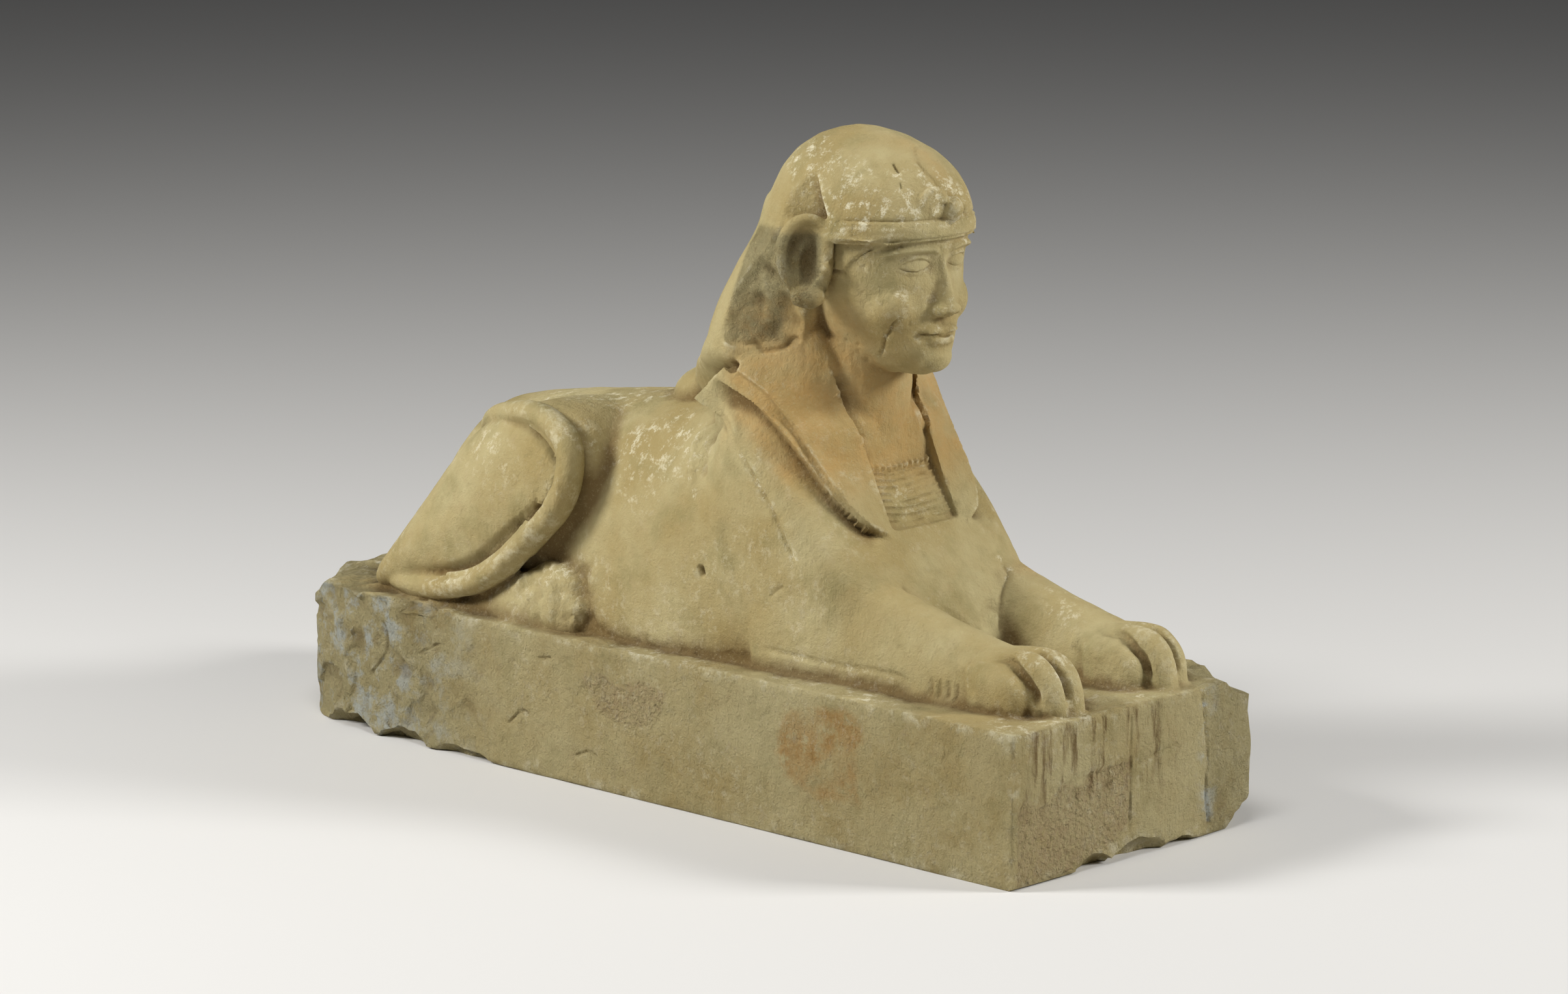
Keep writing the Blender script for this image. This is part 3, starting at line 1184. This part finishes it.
def finer(obj, region):
    """Cuts every face of a region in four."""
    only(obj)
    mesh = obj.data
    centres = np.empty(len(mesh.polygons) * 3)
    mesh.polygons.foreach_get("center", centres)
    chosen = region(*(centres.reshape(-1, 3) / MM).T)
    bpy.ops.object.mode_set(mode="EDIT")
    bpy.ops.mesh.select_mode(type="FACE")
    bpy.ops.mesh.select_all(action="DESELECT")
    bpy.ops.object.mode_set(mode="OBJECT")
    mesh.polygons.foreach_set("select", chosen)
    bpy.ops.object.mode_set(mode="EDIT")
    bpy.ops.mesh.subdivide(number_cuts=1)
    bpy.ops.object.mode_set(mode="OBJECT")


def face_region(x, y, z):
    """Where the face is."""
    return (np.abs(x) < 84) & (y < -178) & (z > CHIN - 6) & (z < BROW_BAND + 4)


def collar_region(x, y, z):
    """Where the collar is."""
    return (np.abs(x) < COLLAR_SPAN + 1) & (y > -262) & (y < -196) & (z > 284) & (z < 350)


def carve(block):
    """Refines the collar twice and the face once, works the whole surface and gives the skin back."""
    finer(block, collar_region)
    finer(block, lambda x, y, z: collar_region(x, y, z) | face_region(x, y, z))
    skin = Skin(block)
    for work in (
        weather_body, carve_plinth, carve_haunches, carve_forelegs, carve_shoulders,
        carve_headcloth, carve_neck, carve_collar, carve_face,
    ):
        work(skin)
    skin.keep()
    return skin


# How plain each part is, from 0 to 1: the plainer, the larger its triangles
PLAIN_BODY, PLAIN_PLINTH, PLAIN_UNDERSIDE, PLAIN_HEAD_AND_PAWS = 0.62, 0.68, 0.97, 0.4
PLAIN_STROKES, PLAIN_FACE_AND_COLLAR = 0.15, 0.1


def thinned(block, worked):
    """Spends the triangles where the carving is fine and few on the plain faces."""
    x, y, z = read_points(block).T
    plain = np.full(len(x), PLAIN_BODY)
    plain[z < DECK - 8] = PLAIN_PLINTH
    plain[z < 1] = PLAIN_UNDERSIDE
    plain[(z > CHIN) | ((y < -390) & (z > DECK + 4))] = PLAIN_HEAD_AND_PAWS
    plain[worked] = PLAIN_STROKES
    plain[face_region(x, y, z) | collar_region(x, y, z)] = PLAIN_FACE_AND_COLLAR
    group = block.vertex_groups.new(name="plain")
    for value in np.unique(plain):
        group.add([int(i) for i in np.flatnonzero(plain == value)], float(value), "REPLACE")
    triangles = sum(len(face.vertices) - 2 for face in block.data.polygons)
    ratio = min(1.0, MOST_TRIANGLES / triangles)
    finish_with(block, "DECIMATE", ratio=ratio, vertex_group="plain", vertex_group_factor=1.0)
    block.vertex_groups.clear()
    return block


# ---------------------------------------------------------------- limestone
def edges_of(obj):
    """The two ends of every edge."""
    pairs = np.empty(len(obj.data.edges) * 2, np.int64)
    obj.data.edges.foreach_get("vertices", pairs)
    return pairs.reshape(-1, 2)


def averaged(values, pairs, times):
    """Spreads a value at every point over its neighbours."""
    count = np.bincount(pairs.ravel(), minlength=len(values))[:, None] + 1
    shaped = values.reshape(len(values), -1).copy()
    for _ in range(times):
        total = shaped.copy()
        for column in range(shaped.shape[1]):
            total[:, column] += np.bincount(pairs[:, 0], shaped[pairs[:, 1], column], len(values))
            total[:, column] += np.bincount(pairs[:, 1], shaped[pairs[:, 0], column], len(values))
        shaped = total / count
    return shaped.reshape(values.shape)


# The stain low on the right side: (y, z)
STAIN = [
    (-330, 52), (-322, 96), (-336, 118), (-318, 138), (-262, 134), (-228, 122), (-218, 84), (-232, 60),
    (-270, 46),
]
# Scratches and cracks that show pale
CHALK_LINES = [
    SHOULDER_CRACK,
    [(-132, -58, 308), (-117, -41, 344), (-97, -36, 370)],
    [(-142, -176, 171), (-137, -254, 168), (-132, -301, 169)],
    [(75, -287, 250), (66, -299, 231), (47, -306, 209)],
    CHEEK_CRACK,
]


def wear_masks(skin, pairs):
    """Where the form is hollow, so that dirt stays, and where a sharp edge is rubbed pale."""
    near, far = (
        np.einsum("ij,ij->i", averaged(skin.at, pairs, times) - skin.at, skin.out) for times in (5, 45)
    )
    hollow = averaged(smooth_step(near / 1.6) * 0.6 + smooth_step(far / 7) * 0.8, pairs, 2)
    return {"hollow": hollow, "edge": smooth_step((-near - 0.5) / 1.1)}


def earth_masks(skin):
    """Warm old earth at the throat and in a few scars, and chalk on what looks up and along cracks."""
    x, y, z = skin.at.T
    throat_warm = between(z, 330, 500, 60) * between(y, -265, -100, 40) * between(x, -128, 128, 14)
    cheeks = between(z, CHIN - 10, BROW_BAND, 16) * smooth_step((-y - 200) / 30)
    warm = throat_warm * (1 - 0.85 * cheeks)
    far_knee = round_spot((x - 100) / 30, (y + 300) / 24, (z - 236) / 14)
    crown_scar = round_spot((x - 2) / 16, (z - 648) / 22) * smooth_step((-y - 180) / 30)
    patchy = smooth_step(0.4 + 1.6 * noise(skin.at, 60, 72))
    upward = smooth_step(skin.out[:, 2] * 1.3)
    crown = between(z, 585, 680, 30)
    chalk = 0.8 * patchy * upward + 0.35 * patchy + 0.9 * crown * patchy
    chalk = chalk * (1 - 0.8 * warm)
    for path in CHALK_LINES:
        rows, across, _ = skin.along(path, 6)
        chalk[rows] = np.maximum(chalk[rows], 1.2 * bump(across / 6))
    return {"warm": np.clip(warm + 0.6 * far_knee + 0.5 * crown_scar, 0, 1), "chalk": np.clip(chalk, 0, 1.2)}


def plinth_masks(skin):
    """The plinth's granular patches, stain, chisel strokes and cold chalk, and all coarse broken stone."""
    x, y, z = skin.at.T
    front, right = skin.square_to(1, -1), skin.square_to(0, -1)
    low = smooth_step((DECK + 3 - z) / 6)
    torn_wing = between(x, -130, -84, 6) * between(y, -196, -92, 10) * between(z, 466, 578, 8)
    rear = smooth_step((y - 150) / 260) * smooth_step((40 - x) / 100)
    left = smooth_step((x - 96) / 20)
    cold = low * np.clip(rear * right * 1.1 + 0.5 * between(x, 92, 118, 12) * front, 0, 1)
    rows, across, _ = skin.along(FRONT_CRACK, 7)
    cold[rows] = np.maximum(cold[rows], 1.4 * bump(across / 7))
    return {
        "grains": low * (inside(x, z, GRAIN_FRONT, 6) * front + inside(y, z, GRAIN_SIDE, 6) * right),
        "stain": low * right * inside(y, z, STAIN, 7) * smooth_step(1.1 + noise(skin.at, 26, 74)),
        "coarse": np.clip(low * (0.45 + rear + 0.6 * left) + torn_wing, 0, 1),
        "chisel": low * front * between(x, -176, 40, 16) * between(z, 76, 160, 30),
        "cold": cold,
    }


def paint_masks(block):
    """Stores the masks as values at the block's points, for the limestone to read."""
    skin = Skin(block)
    for masks in (wear_masks(skin, edges_of(block)), earth_masks(skin), plinth_masks(skin)):
        for name, values in masks.items():
            layer = block.data.attributes.new(name, "FLOAT", "POINT")
            layer.data.foreach_set("value", values.astype(np.float32))


# Cream limestone: its ground colours, the earth and dirt in it, and the chalky and stained places
STONE, STONE_PALE, STONE_OLIVE, DUST = "#a08e5e", "#b3a67a", "#8c8256", "#a8956a"
WARM_EARTH, SHADE_DIRT, PITS = "#b98a48", "#5f4520", "#5c4926"
CHALK, COLD_CHALK, PINK_GRAIN, STAIN_BROWN = "#d9d1b2", "#bcbeb2", "#a08c66", "#9e7840"
# Unpolished stone is matt all over, with hardly a sheen.
STONE_ROUGHNESS, STONE_IOR, STONE_SHEEN = 0.93, 1.5, 0.25


def linear(hex_colour):
    """Turns an sRGB hex colour into the linear values that nodes and lights take."""
    channels = [int(hex_colour[i:i + 2], 16) / 255 for i in (1, 3, 5)]
    return [c / 12.92 if c <= 0.04045 else ((c + 0.055) / 1.055) ** 2.4 for c in channels] + [1.0]


def node(tree, kind, settings=None, links=None):
    """Adds a node; a setting is a property by its name or an input by its number or its name in brackets."""
    made = tree.nodes.new(kind)
    for key, value in (settings or {}).items():
        if isinstance(key, str) and not key.startswith("["):
            setattr(made, key, value)
        else:
            made.inputs[key.strip("[]") if isinstance(key, str) else key].default_value = value
    for key, source in (links or {}).items():
        tree.links.new(source, made.inputs[key])
    return made


def limestone():
    """Carved, weathered limestone: a matt cream stone, patchy with chalk, dust and warm old earth."""
    material = bpy.data.materials.new("carved weathered limestone")
    material.use_nodes = True
    tree = material.node_tree
    shader = tree.nodes["Principled BSDF"]
    shader.inputs["Roughness"].default_value = STONE_ROUGHNESS
    shader.inputs["IOR"].default_value = STONE_IOR
    shader.inputs["Specular IOR Level"].default_value = STONE_SHEEN
    place = node(tree, "ShaderNodeTexCoord").outputs["Object"]
    # Squeezed heights draw the grain out into upright strokes.
    strokes = {"operation": "MULTIPLY", 1: (1, 1, 0.14)}
    upright = node(tree, "ShaderNodeVectorMath", strokes, {0: place}).outputs[0]

    def cloud(grain_mm, detail=4.0, rough=0.6, source=place):
        scale = {"[Scale]": 1000 / grain_mm, "[Detail]": detail, "[Roughness]": rough}
        return node(tree, "ShaderNodeTexNoise", scale, {"Vector": source}).outputs["Fac"]

    def painted(name):
        return node(tree, "ShaderNodeAttribute", {"attribute_name": name}).outputs["Fac"]

    def times(a, b):
        return node(tree, "ShaderNodeMath", {"operation": "MULTIPLY"}, {0: a, 1: b}).outputs[0]

    def ramp(value, low, high, top=1.0):
        return node(tree, "ShaderNodeMapRange", {1: low, 2: high, 4: top}, {0: value}).outputs[0]

    def laid_over(under, hex_colour, share):
        settings = {"data_type": "RGBA", 7: linear(hex_colour)}
        return node(tree, "ShaderNodeMix", settings, {0: share, 6: under}).outputs[2]

    # Broad beds of the stone, then patches and dust on them; grains are in millimetres.
    beds = {"data_type": "RGBA", 6: linear(STONE), 7: linear(STONE_PALE)}
    ground = node(tree, "ShaderNodeMix", beds, {0: ramp(cloud(130), 0.38, 0.62)}).outputs[2]
    for colour, share in (
        (STONE_OLIVE, ramp(cloud(45, 5), 0.5, 0.7, 0.6)),
        (DUST, ramp(cloud(12, 5), 0.5, 0.75, 0.4)),
        # Earth, granular patches, the stain, and fresh breaks
        (WARM_EARTH, times(painted("warm"), ramp(cloud(30, 5), 0.15, 0.75, 0.62))),
        (PINK_GRAIN, times(painted("grains"), ramp(cloud(5, 3), 0.3, 0.6))),
        (STAIN_BROWN, times(painted("stain"), ramp(cloud(18, 6, 0.7), 0.36, 0.5, 0.8))),
        (STONE_PALE, times(painted("coarse"), ramp(cloud(42, 8, 0.7), 0.4, 0.56, 0.9))),
        # Chalk: speckled on top, rubbed along edges, and cold on the plinth
        (CHALK, times(painted("chalk"), ramp(cloud(12, 12, 0.82), 0.525, 0.6, 0.85))),
        (CHALK, times(painted("edge"), ramp(cloud(26, 8, 0.75), 0.5, 0.62, 0.5))),
        (COLD_CHALK, times(painted("cold"), ramp(cloud(34, 7, 0.7), 0.5, 0.62))),
        # Dirt in hollows, in chisel strokes and on broken stone
        (SHADE_DIRT, ramp(painted("hollow"), 0.12, 1.0, 0.75)),
        (SHADE_DIRT, times(painted("chisel"), ramp(cloud(8, 5, 0.6, upright), 0.5, 0.66, 0.8))),
        (SHADE_DIRT, times(painted("coarse"), ramp(cloud(24, 9, 0.75), 0.57, 0.64, 0.3))),
        # Small dark pits and pale specks all over
        (PITS, ramp(cloud(6, 6, 0.8), 0.62, 0.72, 0.6)),
        (STONE_PALE, ramp(cloud(3, 4, 0.8), 0.55, 0.7, 0.5)),
    ):
        ground = laid_over(ground, colour, share)
    tree.links.new(ground, shader.inputs["Base Color"])

    # Relief too fine for the mesh: grain, broader wear, tool strokes and pits, with distances in metres.
    # The stone's own grain is well under a millimetre; it is drawn at 2.6 mm, so that it shows.
    rougher_when_broken = {"operation": "MULTIPLY_ADD", 1: 2.2, 2: 0.8}
    strength = node(tree, "ShaderNodeMath", rougher_when_broken, {0: painted("coarse")}).outputs[0]
    surface = None
    for settings, links in (
        ({"[Distance]": 0.0011}, {"Height": cloud(2.6, 6, 0.7), "Strength": strength}),
        ({"[Distance]": 0.0034}, {"Height": cloud(14, 6, 0.68), "Strength": strength}),
        ({"[Distance]": 0.0016, "[Strength]": 0.55}, {"Height": cloud(7, 4, 0.6, upright)}),
        ({"[Distance]": 0.005, "[Strength]": 1.0}, {"Height": times(painted("grains"), cloud(4.5, 3, 0.5))}),
    ):
        links = {**links, "Normal": surface} if surface else links
        surface = node(tree, "ShaderNodeBump", settings, links).outputs[0]
    tree.links.new(surface, shader.inputs["Normal"])
    return material


# ---------------------------------------------------------------- studio
FLOOR_SIZE, FLOOR_PALE, FLOOR_ROUGHNESS = 40, "#d6d4d0", 0.95
# Square soft lights: name, place, side and power
LIGHTS = [
    ("soft_left", (-3.0, 1.9, 2.6), 1.1, 160),
    ("soft_right", (2.4, -3.6, 2.3), 1.2, 175),
    ("soft_top", (-1.6, -1.0, 3.6), 1.6, 60),
]
LIGHT_AIM = Vector((0, 0, 0.3))
AIR_COLOUR, AIR_STRENGTH = "#e8eaee", 0.05
CAMERA_LENS, CAMERA_SENSOR, CAMERA_DISTANCE, CAMERA_REACH = 119.6, 36, 5.2931, 100
CAMERA_AZIMUTH, CAMERA_ELEVATION = math.radians(-46.012), math.radians(11.069)
CAMERA_AIM = Vector((0.0278, -0.0288, 0.2799))


def area_light(name, place, side, power):
    """A square light aimed at the statue."""
    bpy.ops.object.light_add(type="AREA", location=place)
    light = bpy.context.active_object
    light.name = name
    light.data.shape = "RECTANGLE"
    light.data.size, light.data.size_y = side, side
    light.data.energy = power
    light.rotation_euler = (LIGHT_AIM - Vector(place)).to_track_quat("-Z", "Y").to_euler()


def camera():
    """Looks at the statue from its right front and a little above."""
    data = bpy.data.cameras.new("camera")
    data.lens, data.sensor_width, data.clip_end = CAMERA_LENS, CAMERA_SENSOR, CAMERA_REACH
    obj = bpy.data.objects.new("camera", data)
    bpy.context.scene.collection.objects.link(obj)
    level = math.cos(CAMERA_ELEVATION)
    back = Vector((
        math.sin(CAMERA_AZIMUTH) * level, -math.cos(CAMERA_AZIMUTH) * level, math.sin(CAMERA_ELEVATION)
    ))
    obj.location = CAMERA_AIM + CAMERA_DISTANCE * back
    obj.rotation_euler = back.to_track_quat("Z", "Y").to_euler()
    bpy.context.scene.camera = obj


def studio():
    """A wide pale paper floor, three soft lights and a little light from the air."""
    bpy.ops.mesh.primitive_plane_add(size=FLOOR_SIZE, location=(0, 0, 0))
    floor = bpy.context.active_object
    floor.name = "studio_floor"
    paper = bpy.data.materials.new("matt pale studio paper")
    paper.use_nodes = True
    shader = paper.node_tree.nodes["Principled BSDF"]
    shader.inputs["Base Color"].default_value = linear(FLOOR_PALE)
    shader.inputs["Roughness"].default_value = FLOOR_ROUGHNESS
    floor.data.materials.append(paper)
    for light in LIGHTS:
        area_light(*light)
    world = bpy.data.worlds.new("studio air")
    world.use_nodes = True
    air = world.node_tree.nodes["Background"]
    air.inputs["Color"].default_value = linear(AIR_COLOUR)
    air.inputs["Strength"].default_value = AIR_STRENGTH
    bpy.context.scene.world = world
    camera()
    bpy.context.scene.view_settings.view_transform = "Standard"


studio()
sphinx = statue()
thinned(sphinx, carve(sphinx).worked)
write_points(sphinx, np.clip(read_points(sphinx), LOW, HIGH))
sphinx.data.materials.clear()
sphinx.data.materials.append(limestone())
paint_masks(sphinx)
only(sphinx)
bpy.ops.object.shade_smooth_by_angle(angle=SHADING_ANGLE)
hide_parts("sphinx_statue")
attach(sphinx, "root")
